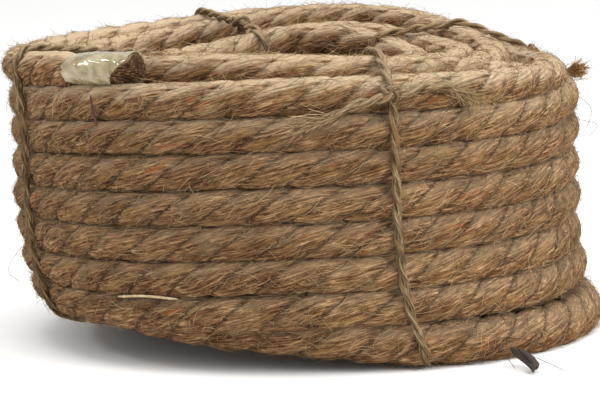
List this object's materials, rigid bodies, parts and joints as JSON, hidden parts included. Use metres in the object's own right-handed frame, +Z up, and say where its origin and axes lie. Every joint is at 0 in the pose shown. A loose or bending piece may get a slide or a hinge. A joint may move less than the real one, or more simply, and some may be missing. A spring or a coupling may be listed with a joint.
{
  "type": "coiled dock line",
  "caption": "Three-strand jute mooring rope wound into a standing coil with an open middle, held by twine ties, its cut ends wrapped in clear tape",
  "frame": {"origin": "on the floor under the middle of the whole coil", "axes": "+Z up along the coil's axis, -Y the front, where the taped end shows at the left; +X to the right seen from the front"},
  "size_m": [0.2806, 0.2726, 0.1488],
  "materials": {
    "jute_rope": "natural tan jute, three strands of soft yarn, matt and hairy",
    "jute_twine": "thin greyish jute twine of two plies, matt",
    "clear_tape": "yellowed translucent packing tape, glossy and creased"
  },
  "bodies": {
    "coil": {"rope_coil": "jute_rope", "rope_outer_run": "jute_rope", "rope_inner_end": "jute_rope", "inner_end_tape": "clear_tape", "front_right_tie": "jute_twine", "front_right_tie_knot": "jute_twine", "front_right_tie_left_tail": "jute_twine", "front_right_tie_right_tail": "jute_twine", "left_tie": "jute_twine", "left_tie_knot": "jute_twine", "left_tie_tail": "jute_twine", "back_left_tie": "jute_twine", "back_left_tie_knot": "jute_twine", "back_left_tie_tail": "jute_twine", "back_right_tie": "jute_twine", "back_right_tie_knot": "jute_twine", "back_right_tie_tail": "jute_twine"},
    "outer_end": {"rope_outer_end": "jute_rope", "outer_end_tape": "clear_tape"}
  },
  "joints": [
    {"name": "outer_end_lift", "type": "hinge", "parent": "coil", "child": "outer_end", "pos_m": [-0.11406, -0.06347, 0.1443], "axis": [-0.848, -0.5299, 0], "range_deg": [0, 25]}
  ]
}
